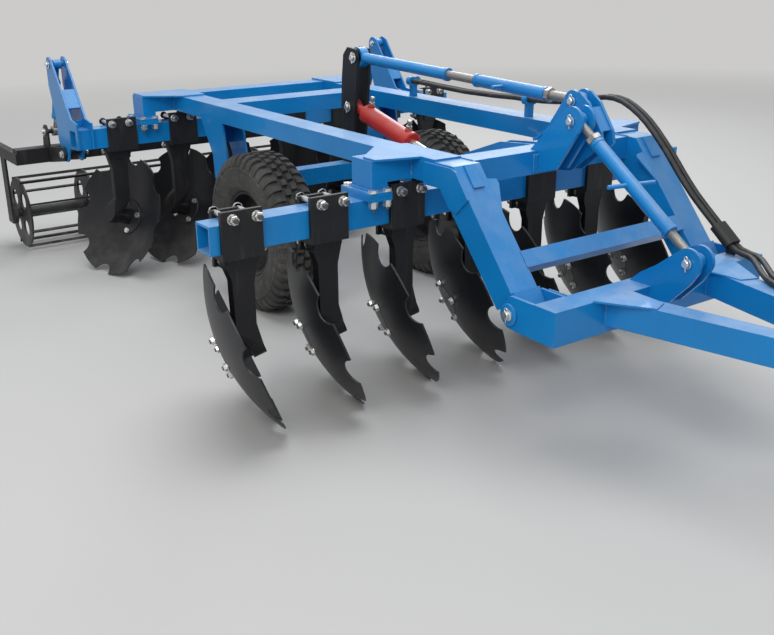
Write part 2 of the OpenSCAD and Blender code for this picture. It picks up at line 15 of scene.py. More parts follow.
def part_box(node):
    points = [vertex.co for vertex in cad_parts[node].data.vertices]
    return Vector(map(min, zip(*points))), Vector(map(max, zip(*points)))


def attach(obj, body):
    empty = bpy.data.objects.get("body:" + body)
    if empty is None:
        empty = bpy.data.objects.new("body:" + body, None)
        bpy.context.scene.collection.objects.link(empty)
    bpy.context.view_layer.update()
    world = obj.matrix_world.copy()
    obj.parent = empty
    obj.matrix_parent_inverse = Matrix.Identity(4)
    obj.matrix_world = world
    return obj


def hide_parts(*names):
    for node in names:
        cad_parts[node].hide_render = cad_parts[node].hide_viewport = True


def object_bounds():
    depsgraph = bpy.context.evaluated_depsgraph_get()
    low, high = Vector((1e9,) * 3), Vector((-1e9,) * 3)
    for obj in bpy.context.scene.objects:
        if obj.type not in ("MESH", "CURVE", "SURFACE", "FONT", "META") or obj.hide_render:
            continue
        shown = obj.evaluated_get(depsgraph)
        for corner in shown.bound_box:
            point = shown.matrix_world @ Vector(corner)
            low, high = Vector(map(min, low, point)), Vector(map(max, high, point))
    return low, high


bl_info = {
    "name": "Disc harrow dressing",
    "version": (1, 0, 0),
    "blender": (4, 5, 0),
    "location": "3D View > Sidebar > Harrow",
    "description": "Finishes, fasteners, tyres, hoses and a studio for a trailed disc harrow",
    "category": "Object",
}

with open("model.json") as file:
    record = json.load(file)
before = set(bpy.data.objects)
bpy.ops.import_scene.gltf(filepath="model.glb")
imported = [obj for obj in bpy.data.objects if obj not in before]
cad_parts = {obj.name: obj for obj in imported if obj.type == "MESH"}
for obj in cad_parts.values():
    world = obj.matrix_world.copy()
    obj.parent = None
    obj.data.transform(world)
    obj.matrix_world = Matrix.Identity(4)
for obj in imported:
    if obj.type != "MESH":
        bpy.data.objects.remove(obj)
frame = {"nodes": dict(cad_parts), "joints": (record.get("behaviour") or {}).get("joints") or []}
cad_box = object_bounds()
nodes = frame["nodes"]
joints = {joint["name"]: joint for joint in frame["joints"]}


def middle_of(node):
    """Middle of a CAD part's box, in metres."""
    low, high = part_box(node)
    return (Vector(low) + Vector(high)) / 2


GROUND = cad_box[0][2]
# The hitch eye on the machine, which is the model's origin
EYE = Vector((-middle_of("front_gang_tube").x, 0, -GROUND)) * 1000
# Middle of the rear gang tube
REAR = (middle_of("rear_gang_tube").x - middle_of("front_gang_tube").x) * 1000


def metres(place):
    """A place on the machine as a place in the model."""
    return (Vector(place) - EYE) / 1000


def joint_place(name):
    """Where a joint is on the machine."""
    return Vector(joints[name]["pos_m"]) * 1000 + EYE


def hinge(name):
    """Where a joint is as seen from the side: x, z."""
    place = joint_place(name)
    return place.x, place.z


def off_plane(point, y):
    """A point seen from the side, at its distance from the middle."""
    return Vector((point[0], y, point[1]))


class Line:
    """A straight line between two pins, a and b, at one distance from the middle."""

    def __init__(self, a, b, y):
        self.start = off_plane(a, y)
        self.way = (off_plane(b, y) - self.start).normalized()
        self.up = Vector((-self.way.z, 0, self.way.x))

    def at(self, distance):
        return self.start + self.way * distance


# Pitch of the stands, and how far the front row lies to the right
PITCH, SHIFT = 340, 200
FRONT_ROW = [-SHIFT + (i - 3) * PITCH for i in range(7)]
# Degrees that each disc's bolts are turned on their hub, and their circle's radius
DISC_TURN = [4, 30, 34, 71, 20, 54, 76]
DISC_CIRCLE = 76
# Along the hub from the middle of a disc: its joint, and its round face at the bolts
SPINDLE, DISC_FACE = 60, 4.4

# Pins as seen from the side, x and z: each joint and the free eye that belongs to it
TOWER_LOW, BRACE_FOOT = hinge("brace_sleeve_tilt"), (978, 665)
TOWER_UP, LEVER_TOP = hinge("link_rod_tilt"), (-1105, 1149)
LEVER_LOW, ANCHOR = hinge("lift_barrel_tilt"), (-400, 727)
DEPTH_TOP, DEPTH_FOOT = hinge("depth_sleeve_tilt"), (-2495, 722)
ROLLER_PIN, LEG_PIN = hinge("roller_frame_tilt"), hinge("drawbar_tilt")
LINK_Y = joint_place("link_rod_tilt").y
BRACE_Y = joint_place("brace_sleeve_tilt").y
BRACE = Line(TOWER_LOW, BRACE_FOOT, BRACE_Y)
LINK = Line(TOWER_UP, LEVER_TOP, LINK_Y)
CYLINDER = Line(LEVER_LOW, ANCHOR, LINK_Y)
# Middle of a rear tower and its outer faces on both sides of that
TOWER_Y, TOWER_HALF = 1017, 42
TOWER_IN, TOWER_OUT = TOWER_Y - TOWER_HALF, TOWER_Y + TOWER_HALF
# Upper face of a slanted leg, from the top to the drawbar's hinge, and its outer side
LEG_TOP, LEG_FOOT = (303, 924), (628, 538)
LEG_SIDE = 540

WHEEL_X, WHEEL_Y, TYRE_R = joint_place("left_wheel_spin")
TYRE_W = 1000 * (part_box("left_tyre")[1][1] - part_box("left_tyre")[0][1])

# x, y, z along the inner hoses. The others lie HOSE_GAP to their left
HOSE_D, HOSE_GAP = 22, 30
HOSE_UPPER = [(-1196, 430, 1000), (-1140, 430, 1000), (-960, 430, 994), (-780, 430, 990),
              (-560, 430, 994), (-430, 430, 1000), (-350, 430, 1000), (-250, 430, 1004),
              (-160, 430, 1011), (-90, 430, 1021), (-20, 430, 1036), (45, 430, 1050),
              (110, 430, 1060), (155, 430, 1060), (200, 430, 1052), (245, 430, 1034),
              (290, 430, 1010), (327, 430, 985), (365, 430, 954), (402, 430, 920),
              (439, 430, 884), (475, 430, 846), (510, 430, 808), (545, 430, 773),
              (580, 430, 740), (630, 430, 699), (680, 430, 660), (723, 430, 626)]
HOSE_LOWER = [(740, 430, 612), (770, 430, 589), (799, 430, 573), (832, 429, 567),
              (866, 419, 567), (896, 398, 567), (925, 370, 567), (1005, 289, 567),
              (1040, 258, 566), (1080, 231, 566), (1130, 208, 566), (1200, 186, 566)]

# The photograph's viewpoint, in metres, and its heading, dip and roll in degrees
CAMERA_PLACE = (0.903, -2.624, 1.103)
CAMERA_TURN = (54.536, 20.538, 0.325)

# Head of the lift cylinder's front pin
PIN_HEAD = 23
# body, place, middle y, half the length between the heads, head radius, pin radius
PINS = [("brace_sleeve", TOWER_LOW, BRACE_Y, 37, 17, 13),
        ("link_rod", TOWER_UP, LINK_Y, 37, 17, 13),
        ("drawbar", BRACE_FOOT, BRACE_Y, 39, 18, 14),
        ("frame", ANCHOR, LINK_Y, 36, PIN_HEAD, 15),
        ("swing_axle", LEVER_LOW, LINK_Y, 43, 24, 15),
        ("swing_axle", LEVER_TOP, LINK_Y, 43, 25, 14)]

# Outer face of the stands' clamp plates, from the gang tube's middle
CLAMP_FACE = 66.3
# Bottom of the plates under the gang tubes' flanges, and the flanges' top with its weld
FLANGE_LOW, FLANGE_TOP = 785, 817.5
# Radius of the wheel nuts' circle
WHEEL_CIRCLE = 82
# Front end of the hoses' guide, past which its couplings show
COUPLINGS_X = 1000
# Washers' thickness and the screws' pitch, in metres
WASHER, THREAD_PITCH = 0.003, 0.005

# Inputs of the bolts' tree, in the order in which their sizes are given
BOLT_SIZES = ("Across flats", "Nut height", "Washer radius", "Thread radius", "End length",
              "Grip", "Head height")

# CAD parts by finish. The others are blue, and the discs have their own
WEARERS = {
    "black": ("front_stands", "rear_stands", "lift_lever", "roller_frame", "roller_brackets",
              "roller", "right_rim", "left_rim"),
    "tyre": ("right_tyre", "left_tyre"),
    "hose": ("hose_upper_1", "hose_upper_2", "hose_lower_1", "hose_lower_2"),
    "red": ("lift_barrel",),
    "chrome": ("lift_piston_rod",),
    "brace": ("brace_sleeve",),
    "rod": ("brace_rod",),
    "link": ("link_rod",),
    "steel": ("depth_rods",),
    "zinc": ("parking_stand",),
    "holder": ("hose_holder",),
}
# The materials, by finish, which the operators fill
finishes = {}

# Edges with wear and a painted highlight, a dusty film with a painted sky reflection, and screws
# in the paint
WEAR_AND_EDGE_HIGHLIGHT, DUST_AND_SKY_REFLECTION = (0.36, 0.52, 0.66), (0.50, 0.50, 0.47)
SCREW_STEEL = (0.33, 0.32, 0.30)


# Shader building


class Wire:
    """A socket in a material, on which arithmetic adds Math nodes."""

    def __init__(self, tree, socket):
        self.tree = tree
        self.socket = socket

    def math(self, operation, *values):
        node = self.tree.nodes.new("ShaderNodeMath")
        node.operation = operation
        for slot, value in zip(node.inputs, values):
            join(self.tree, slot, value)
        return Wire(self.tree, node.outputs[0])

    def __add__(self, other):
        return self.math("ADD", self, other)

    def __radd__(self, other):
        return self.math("ADD", other, self)

    def __sub__(self, other):
        return self.math("SUBTRACT", self, other)

    def __rsub__(self, other):
        return self.math("SUBTRACT", other, self)

    def __mul__(self, other):
        return self.math("MULTIPLY", self, other)

    def __rmul__(self, other):
        return self.math("MULTIPLY", other, self)

    def __truediv__(self, other):
        return self.math("DIVIDE", self, other)

    def __gt__(self, other):
        return self.math("GREATER_THAN", self, other)

    def __lt__(self, other):
        return self.math("LESS_THAN", self, other)

    def sine(self):
        return self.math("SINE", self)

    def high(self, other):
        return self.math("MAXIMUM", self, other)

    def low(self, other):
        return self.math("MINIMUM", self, other)

    def ramp(self, start, end):
        """0 at start, 1 at end, straight between."""
        return ((self - start) / (end - start)).low(1).high(0)


def join(tree, slot, value):
    if isinstance(value, Wire):
        tree.links.new(value.socket, slot)
    elif hasattr(slot.default_value, "__len__") and not hasattr(value, "__len__"):
        slot.default_value = [value] * len(slot.default_value)
    elif hasattr(value, "__len__") and len(value) == 3 and len(slot.default_value) == 4:
        slot.default_value = (*value, 1)
    else:
        slot.default_value = value


class Nodes:
    """A shader tree, built node by node."""

    def __init__(self, tree):
        self.tree = tree
        tree.nodes.clear()

    def node(self, kind, settings=None, values=None, outlet=0):
        """Adds a node. Its settings come first, then the values or links of its sockets."""
        node = self.tree.nodes.new(kind)
        for key, value in (settings or {}).items():
            setattr(node, key, value)
        for key, value in (values or {}).items():
            join(self.tree, node.inputs[key], value)
        return Wire(self.tree, node.outputs[outlet])

    def seen(self):
        """1 on rays from the camera, straight or by gloss or glass."""
        rays = [self.node("ShaderNodeLightPath", outlet=kind)
                for kind in ("Is Camera Ray", "Is Glossy Ray", "Is Transmission Ray")]
        return rays[0].high(rays[1]).high(rays[2])

    def show(self, shader, kind="ShaderNodeOutputMaterial"):
        """Ends the tree in its output."""
        join(self.tree, self.tree.nodes.new(kind).inputs["Surface"], shader)


class Finish(Nodes):
    """One procedural material, whose patterns lie on the model's own places."""

    def __init__(self, name):
        self.material = bpy.data.materials.new(name)
        self.material.use_nodes = True
        super().__init__(self.material.node_tree)
        self.place = self.node("ShaderNodeTexCoord", outlet="Object")

    def noise(self, scale, detail=4, rough=0.55, place=None):
        return self.node("ShaderNodeTexNoise", None,
                         {"Vector": place or self.place, "Scale": scale, "Detail": detail,
                          "Roughness": rough})

    def tint(self, amount, a, b):
        """Colour a, turned into b by the amount."""
        return self.node("ShaderNodeMix", {"data_type": "RGBA"}, {0: amount, 6: a, 7: b}, 2)

    def dot(self, vector, other):
        return self.node("ShaderNodeVectorMath", {"operation": "DOT_PRODUCT"},
                         {0: vector, 1: other}, "Value")

    def part(self, vector, axis):
        """One of a vector's three numbers."""
        return self.node("ShaderNodeSeparateXYZ", None, {0: vector}, axis)

    def facing(self):
        return self.node("ShaderNodeNewGeometry", outlet="Normal")

    def upward(self):
        return self.part(self.facing(), 2)

    def soft_edges(self, radius):
        """The normal with its edges rounded to that radius."""
        return self.node("ShaderNodeBevel", {"samples": 3}, {"Radius": radius})

    def edges(self, soft):
        """1 on the outer and inner edges, from the rounded normal's turn."""
        return (1 - self.dot(soft, self.facing())).ramp(0.004, 0.09)

    def bump(self, height, strength, distance, normal=None):
        values = {"Height": height, "Strength": strength, "Distance": distance}
        if normal:
            values["Normal"] = normal
        return self.node("ShaderNodeBump", None, values)

    def close(self, colour, rough, metal=0.0, normal=None, fixed=None):
        """Ends in the shader. The fixed values are the same all over the surface."""
        values = {"Base Color": colour, "Roughness": rough, "Metallic": metal}
        values.update(fixed or {})
        if normal:
            values["Normal"] = normal
        self.show(self.node("ShaderNodeBsdfPrincipled", None, values))
        return self.material


def enamel(name, colour, deep, dust_and_reflection, rod=None, bare=()):
    """Gloss paint: cloudy tone, fine peel, a dusty film with a painted sky reflection on what
    faces up, and edges with wear and a painted highlight.
    The rod is the line of a screw, and the bare spans along it are threaded steel."""
    look = Finish(name)
    cloud = look.noise(2.6, 3)
    grain = look.noise(60, 5, 0.65)
    peel = look.noise(420, 2)
    soft = look.soft_edges(0.0035)
    edge = look.edges(soft)
    paint = look.tint(cloud.ramp(0.35, 0.68), colour, deep)
    # Painted highlight along the edges: pale blue in patches that also stand for wear
    wear_and_highlight = edge * grain.ramp(0.50, 0.66)
    paint = look.tint(wear_and_highlight * 0.55, paint, WEAR_AND_EDGE_HIGHLIGHT)
    # Painted sky reflection: what faces up turns pale, together with a dusty film
    up = look.upward().ramp(0.35, 0.95)
    film = up * (0.25 + 0.55 * look.noise(9, 6, 0.62).ramp(0.36, 0.72)) * dust_and_reflection
    specks = look.noise(230, 2).ramp(0.66, 0.78) * 0.35 * dust_and_reflection
    low = 1 - look.part(look.place, 2).ramp(GROUND + 0.02, GROUND + 0.42)
    film = film.high(specks).high(low * 0.5 * look.noise(14, 5).ramp(0.4, 0.7))
    paint = look.tint(film, paint, DUST_AND_SKY_REFLECTION)
    rough = 0.24 + 0.34 * film + 0.10 * cloud
    normal = look.bump(peel, 0.10, 0.0004, soft)
    metal = 0.0
    if rod:
        from_pin = look.node("ShaderNodeVectorMath", {"operation": "SUBTRACT"},
                             {0: look.place, 1: metres(rod.start)})
        along = look.dot(from_pin, rod.way)
        bands = [(along > start) * (along < end) for start, end in bare]
        steel = bands[0]
        for band in bands[1:]:
            steel = steel.high(band)
        paint = look.tint(steel, paint, SCREW_STEEL)
        metal = steel * 0.85
        rough = rough * (1 - steel) + steel * (0.34 + 0.2 * grain)
        turns = (along * (2 * math.pi / THREAD_PITCH)).sine() * steel
        normal = look.bump(turns, 0.55, 0.0012, normal)
    return look.close(paint, rough, metal, normal,
                      {"Specular IOR Level": 0.22, "Coat Weight": 0.30, "Coat Roughness": 0.05})


def charcoal(name, colour, deep, soil, dusty, rough):
    """Satin black of the stands and discs, dusty near the ground and scuffed on edges."""
    look = Finish(name)
    cloud = look.noise(5, 4)
    grain = look.noise(95, 5, 0.7)
    soft = look.soft_edges(0.0025)
    edge = look.edges(soft)
    paint = look.tint(cloud.ramp(0.3, 0.7), colour, deep)
    paint = look.tint(edge * grain.ramp(0.46, 0.64) * 0.5, paint, (0.16, 0.16, 0.17))
    low = 1 - look.part(look.place, 2).ramp(GROUND, GROUND + 0.30)
    splashed = low * look.noise(11, 6, 0.65).ramp(0.34, 0.66)
    up = look.upward().ramp(0.4, 1.0) * look.noise(16, 5).ramp(0.3, 0.7) * 0.45
    tall = look.node("ShaderNodeMapping", None, {"Vector": look.place, "Scale": (38, 38, 5)})
    streak = look.noise(1, 4, 0.6, tall)
    film = (splashed * 0.85).high(up).high(streak.ramp(0.56, 0.80) * 0.16) * dusty
    paint = look.tint(film, paint, soil)
    normal = look.bump(grain, 0.12, 0.0006, soft)
    return look.close(paint, rough + 0.35 * film + 0.12 * cloud, 0.0, normal,
                      {"Specular IOR Level": 0.38})


def bare_steel(name, colour, dull, rough, scale=60):
    """Zinc or turned steel with a little dullness in the hollows, and dark bolt ends."""
    look = Finish(name)
    patch = look.noise(scale, 5, 0.6)
    soft = look.soft_edges(0.0012)
    tone = look.tint(patch.ramp(0.42, 0.72), colour, dull)
    thread = look.node("ShaderNodeAttribute", {"attribute_name": "thread"}, None, "Fac")
    tone = look.tint(thread, tone, tuple(0.28 * v for v in dull))
    normal = look.bump(look.noise(scale * 6, 2), 0.12, 0.0003, soft)
    return look.close(tone, rough + 0.25 * patch.ramp(0.4, 0.8) + 0.25 * thread, 0.88, normal)


def tyre_rubber(name):
    """Dusty dark rubber with fine grit and paler blotches."""
    look = Finish(name)
    cloud = look.noise(9, 6, 0.62)
    grit = look.noise(260, 3)
    tone = look.tint(cloud.ramp(0.34, 0.68), (0.030, 0.029, 0.028), (0.078, 0.074, 0.069))
    tone = look.tint(look.noise(34, 5).ramp(0.55, 0.75) * 0.5, tone, (0.15, 0.14, 0.125))
    normal = look.bump(grit + 0.8 * look.noise(70, 3), 0.35, 0.0012)
    return look.close(tone, 0.72 + 0.2 * cloud, 0.0, normal)


def hose_holder_finish(name):
    """Rubber-covered guide behind, grey steel couplings in front."""
    look = Finish(name)
    front = look.part(look.place, 0) > metres((COUPLINGS_X, 0, 0)).x
    cloud = look.noise(40, 4)
    tone = look.tint(front, (0.014, 0.014, 0.015), (0.40, 0.39, 0.38))
    soft = look.soft_edges(0.0015)
    return look.close(tone, 0.5 - 0.12 * front + 0.15 * cloud, 0.85 * front,
                      look.bump(cloud, 0.1, 0.0004, soft))


def hose_cover(name):
    """Black ribbed rubber cover of a hose."""
    look = Finish(name)
    cloud = look.noise(30, 4)
    tone = look.tint(cloud.ramp(0.4, 0.75), (0.012, 0.012, 0.013), (0.040, 0.039, 0.037))
    wrap = look.node("ShaderNodeTexWave", {"wave_type": "BANDS", "bands_direction": "DIAGONAL"},
                     {"Vector": look.place, "Scale": 90, "Distortion": 0.5})
    return look.close(tone, 0.42 + 0.25 * cloud, 0.0, look.bump(wrap, 0.2, 0.0005))


# Mesh building


class Shape:
    """Gathers closed solids into one mesh."""

    def __init__(self):
        self.mesh = bmesh.new()

    def loops(self, rings, wrap=False):
        """Skins rings of equal counts, and caps both ends unless they wrap round."""
        grid = [[self.mesh.verts.new(p) for p in ring] for ring in rings]
        count = len(grid[0])
        steps = len(grid) if wrap else len(grid) - 1
        for i in range(steps):
            low, up = grid[i], grid[(i + 1) % len(grid)]
            for k in range(count):
                n = (k + 1) % count
                self.mesh.faces.new((low[k], low[n], up[n], up[k]))
        if not wrap:
            self.mesh.faces.new(list(reversed(grid[0])))
            self.mesh.faces.new(grid[-1])

    def lathe(self, base, axis, outline, sides=24, turn=0.0):
        """Outline is (radius, height along the axis), from one end cap to the other."""
        axis = Vector(axis).normalized()
        side = axis.orthogonal().normalized()
        other = axis.cross(side)
        rings = []
        for radius, height in outline:
            ring = []
            for k in range(sides):
                a = 2 * math.pi * k / sides + turn
                ring.append(Vector(base) + axis * height
                            + radius * (math.cos(a) * side + math.sin(a) * other))
            rings.append(ring)
        self.loops(rings)

    def sweep(self, path, radius, sides, wrap=False):
        """A round wire along a path."""
        path = [Vector(p) for p in path]
        rings = []
        for i, p in enumerate(path):
            ahead = path[(i + 1) % len(path)] if wrap or i + 1 < len(path) else p
            behind = path[i - 1] if wrap or i else p
            run = (ahead - behind).normalized()
            side = run.cross(Vector((0.13, 0.99, 0.07))).normalized()
            other = run.cross(side)
            rings.append([p + radius * (math.cos(a) * side + math.sin(a) * other)
                          for a in [2 * math.pi * k / sides for k in range(sides)]])
        self.loops(rings, wrap)

    def object(self, name, finish, corner=38):
        """The plain mesh object in the model's frame. Edges are crisp past the corner angle."""
        bmesh.ops.recalc_face_normals(self.mesh, faces=self.mesh.faces)
        for v in self.mesh.verts:
            v.co = metres(v.co)
        limit = math.radians(corner)
        for face in self.mesh.faces:
            face.smooth = True
        for edge in self.mesh.edges:
            edge.smooth = edge.is_manifold and edge.calc_face_angle(0) < limit
        return made_of(name, self.mesh, finish)

    def fit(self, name, finish, body, corner=38):
        """Makes the object and fits it to its body."""
        fit(self.object(name, finish, corner), body)


def made_of(name, mesh, finish):
    """Turns a bmesh into an object with one finish."""
    data = bpy.data.meshes.new(name)
    mesh.to_mesh(data)
    mesh.free()
    data.materials.append(finishes[finish])
    made = bpy.data.objects.new(name, data)
    bpy.context.scene.collection.objects.link(made)
    return made


def fit(piece, body):
    """The piece moves with the body."""
    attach(piece, body)


# Geometry nodes


class Graph:
    """A Geometry Nodes tree with named sizes, that ends in realised, painted geometry."""

    def __init__(self, name, sizes):
        self.tree = bpy.data.node_groups.new(name, "GeometryNodeTree")
        face = self.tree.interface
        face.new_socket(name="Geometry", in_out="INPUT", socket_type="NodeSocketGeometry")
        for label, kind in sizes.items():
            face.new_socket(name=label, in_out="INPUT", socket_type="NodeSocket" + kind)
        face.new_socket(name="Finish", in_out="INPUT", socket_type="NodeSocketMaterial")
        face.new_socket(name="Geometry", in_out="OUTPUT", socket_type="NodeSocketGeometry")
        self.entry = self.tree.nodes.new("NodeGroupInput")

    def size(self, label):
        return self.entry.outputs[label]

    def node(self, kind, settings=None, values=None, outlet=0):
        node = self.tree.nodes.new(kind)
        for key, value in (settings or {}).items():
            setattr(node, key, value)
        for key, value in (values or {}).items():
            if isinstance(value, (list, tuple)) and value and isinstance(
                    value[0], bpy.types.NodeSocket):
                for socket in reversed(value):
                    self.tree.links.new(socket, node.inputs[key])
            elif isinstance(value, bpy.types.NodeSocket):
                self.tree.links.new(value, node.inputs[key])
            else:
                node.inputs[key].default_value = value
        return node.outputs[outlet]

    def math(self, a, b, operation="ADD"):
        return self.node("ShaderNodeMath", {"operation": operation}, {0: a, 1: b})

    def close(self, copies):
        real = self.node("GeometryNodeRealizeInstances", None, {"Geometry": copies})
        painted = self.node("GeometryNodeSetMaterial", None,
                            {"Geometry": real, "Material": self.size("Finish")})
        out = self.tree.nodes.new("NodeGroupOutput")
        self.tree.links.new(painted, out.inputs["Geometry"])
        return self.tree


def bolt_tree():
    """Hex nut with washer and bolt end on one side, shank and hex head on the other."""
    graph = Graph("Bolts through", {size: "Float" for size in BOLT_SIZES})
    nut, grip, head = graph.size("Nut height"), graph.size("Grip"), graph.size("Head height")
    disc, thread = graph.size("Washer radius"), graph.size("Thread radius")
    # a hexagon's corners lie this share of its width across flats from its middle
    flat = graph.math(graph.size("Across flats"), 0.5774, "MULTIPLY")
    chamfer = graph.math(flat, 0.9, "MULTIPLY")
    body = graph.math(nut, 0.8, "MULTIPLY")
    crown = graph.math(nut, 0.2, "MULTIPLY")
    back = graph.math(0.0, grip, "SUBTRACT")
    tip = graph.math(nut, graph.size("End length"))

    def bar(sides, radius, top, start, length, dark=0.0):
        solid = graph.node("GeometryNodeMeshCone", {"fill_type": "NGON"},
                           {"Vertices": sides, "Radius Bottom": radius, "Radius Top": top,
                            "Depth": length}, "Mesh")
        solid = graph.node("GeometryNodeStoreNamedAttribute", {"data_type": "FLOAT"},
                           {"Geometry": solid, "Name": "thread", "Value": dark})
        shift = graph.node("ShaderNodeCombineXYZ", None, {"Z": start})
        return graph.node("GeometryNodeTransform", None, {"Geometry": solid, "Translation": shift})

    bolt = graph.node("GeometryNodeJoinGeometry", None, {"Geometry": [
        bar(20, disc, disc, 0.0, WASHER),
        bar(6, flat, flat, WASHER, body),
        bar(6, flat, chamfer, graph.math(body, WASHER), crown),
        bar(12, thread, thread, WASHER, tip, 1.0),
        bar(10, thread, thread, back, grip),
        bar(6, flat, flat, graph.math(back, head, "SUBTRACT"), head),
        bar(20, disc, disc, graph.math(back, WASHER, "SUBTRACT"), WASHER)]})
    way = graph.node("GeometryNodeInputNamedAttribute", {"data_type": "FLOAT_VECTOR"},
                     {"Name": "facing"})
    stand = graph.node("FunctionNodeAlignRotationToVector", {"axis": "Z"}, {"Vector": way})
    spin = graph.node("FunctionNodeRandomValue", {"data_type": "FLOAT"},
                      {2: 0.0, 3: math.pi / 3, "Seed": 11}, 1)
    twist = graph.node("FunctionNodeAxisAngleToRotation", None, {"Axis": (0, 0, 1), "Angle": spin})
    turned = graph.node("FunctionNodeRotateRotation", {"rotation_space": "LOCAL"},
                        {"Rotation": stand, "Rotate By": twist})
    copies = graph.node("GeometryNodeInstanceOnPoints", None,
                        {"Points": graph.size("Geometry"), "Instance": bolt, "Rotation": turned})
    return graph.close(copies)


def round_tree():
    """Copies of one piece round an axle along Y that stands at Middle."""
    graph = Graph("Round an axle", {"Count": "Int", "Phase": "Float", "Middle": "Vector"})
    spots = graph.node("GeometryNodePoints", None,
                       {"Count": graph.size("Count"), "Position": graph.size("Middle")})
    step = graph.math(2 * math.pi, graph.size("Count"), "DIVIDE")
    index = graph.node("GeometryNodeInputIndex")
    angle = graph.math(graph.math(index, graph.size("Phase")), step, "MULTIPLY")
    way = graph.node("FunctionNodeAxisAngleToRotation", None, {"Axis": (0, 1, 0), "Angle": angle})
    copies = graph.node("GeometryNodeInstanceOnPoints", None,
                        {"Points": spots, "Instance": graph.size("Geometry"), "Rotation": way})
    return graph.close(copies)


def bead_tree():
    """A weld: short overlapping ripples along an edge mesh."""
    graph = Graph("Weld beads", {"Bead radius": "Float", "Spacing": "Float"})
    line = graph.node("GeometryNodeMeshToCurve", None, {"Mesh": graph.size("Geometry")})
    spots = graph.node("GeometryNodeResampleCurve", {"mode": "LENGTH"},
                       {"Curve": line, "Length": graph.size("Spacing")})
    bead = graph.node("GeometryNodeMeshUVSphere", None,
                      {"Segments": 8, "Rings": 5, "Radius": graph.size("Bead radius")}, "Mesh")
    swell = graph.node("FunctionNodeRandomValue", {"data_type": "FLOAT"},
                       {2: 0.85, 3: 1.12, "Seed": 4}, 1)
    copies = graph.node("GeometryNodeInstanceOnPoints", None,
                        {"Points": spots, "Instance": bead, "Scale": swell})
    return graph.close(copies)


MAKERS = {"bolt": bolt_tree, "round": round_tree, "bead": bead_tree}
# Each tree is made once, when it is first needed
trees = {}


def grow(name, seed_mesh, kind, values, finish):
    """Runs a tree on a mesh and returns the result as a plain object."""
    if kind not in trees:
        trees[kind] = MAKERS[kind]()
    tree = trees[kind]
    seed = bpy.data.objects.new(name + ".seed", seed_mesh)
    bpy.context.scene.collection.objects.link(seed)
    modifier = seed.modifiers.new("grow", "NODES")
    modifier.node_group = tree
    inputs = dict(values, Finish=finishes[finish])
    for item in tree.interface.items_tree:
        if item.in_out == "INPUT" and item.name != "Geometry":
            modifier[item.identifier] = inputs[item.name]
    ready = seed.evaluated_get(bpy.context.evaluated_depsgraph_get())
    data = bpy.data.meshes.new_from_object(ready)
    seed.modifiers.clear()
    bpy.data.objects.remove(seed)
    if not data.polygons:
        raise RuntimeError(name + " came out empty")
    data.name = name
    if not data.materials:
        data.materials.append(finishes[finish])
    made = bpy.data.objects.new(name, data)
    bpy.context.scene.collection.objects.link(made)
    return made


def bolt_up(name, places, sizes, body):
    """Bolts at (place, direction that the nut faces), on one body. The sizes are as in
    BOLT_SIZES, in metres."""
    data = bpy.data.meshes.new("places")
    data.from_pydata([metres(place) for place, _ in places], [], [])
    facing = data.attributes.new("facing", "FLOAT_VECTOR", "POINT")
    for i, (_, way) in enumerate(places):
        facing.data[i].vector = Vector(way).normalized()
    fit(grow(name, data, "bolt", dict(zip(BOLT_SIZES, sizes)), "zinc"), body)


# Settings


def size_of(name, text, value):
    return FloatProperty(name=name, description=text, default=value, min=0.0005, soft_max=1,
                         subtype="DISTANCE", unit="LENGTH", precision=4)


def colour_of(name, text, value):
    return FloatVectorProperty(name=name, description=text, default=value, size=3, min=0,
                               max=1, subtype="COLOR")


class HarrowColours(bpy.types.PropertyGroup):
    """Colours of the paint"""

    blue: colour_of("Blue", "Paint of the frame", (0.006, 0.235, 0.600))
    deep_blue: colour_of("Deep blue", "Darker clouds in the paint", (0.005, 0.195, 0.520))
    black: colour_of("Black", "Paint of stands and roller", (0.0080, 0.0080, 0.0095))
    disc: colour_of("Discs", "Paint of the discs", (0.0085, 0.0090, 0.0115))
    red: colour_of("Red", "Paint of the lift cylinder", (0.56, 0.030, 0.024))
    soil: colour_of("Soil", "Dry soil on the black parts", (0.25, 0.235, 0.22))


class HarrowFasteners(bpy.types.PropertyGroup):
    """Sizes of bolts, nuts and pins"""

    flats: size_of("Across flats", "Width of the clamp nuts", 0.030)
    nut: size_of("Nut height", "Height of the clamp nuts", 0.022)
    washer: size_of("Washer radius", "Radius of the clamp washers", 0.0185)
    disc_flats: size_of("Disc nut width", "Width of the disc nuts", 0.026)
    pin_head: size_of("Pin head radius", "Head of the lift cylinder's front pin. The other "
                      "heads follow it", PIN_HEAD / 1000)
    disc_bolts: IntProperty(name="Disc bolts", description="Bolts in each disc", default=4,
                            min=3, max=8)


class HarrowTyres(bpy.types.PropertyGroup):
    """The tyres' tread"""

    lugs: IntProperty(name="Lugs", description="Shoulder lugs on a side", default=44, min=12,
                      max=80)
    lug_height: size_of("Lug height", "Height of the lugs over the tread", 0.015)


class HarrowStage(bpy.types.PropertyGroup):
    """Floor, light and camera"""

    floor: colour_of("Floor", "Colour of the floor", (0.52, 0.507, 0.49))
    backdrop: colour_of("Backdrop", "Colour behind the machine", (0.60, 0.595, 0.585))
    lens: FloatProperty(name="Lens", description="Focal length", default=45.058, min=10,
                        max=200, unit="CAMERA")


# Finishes


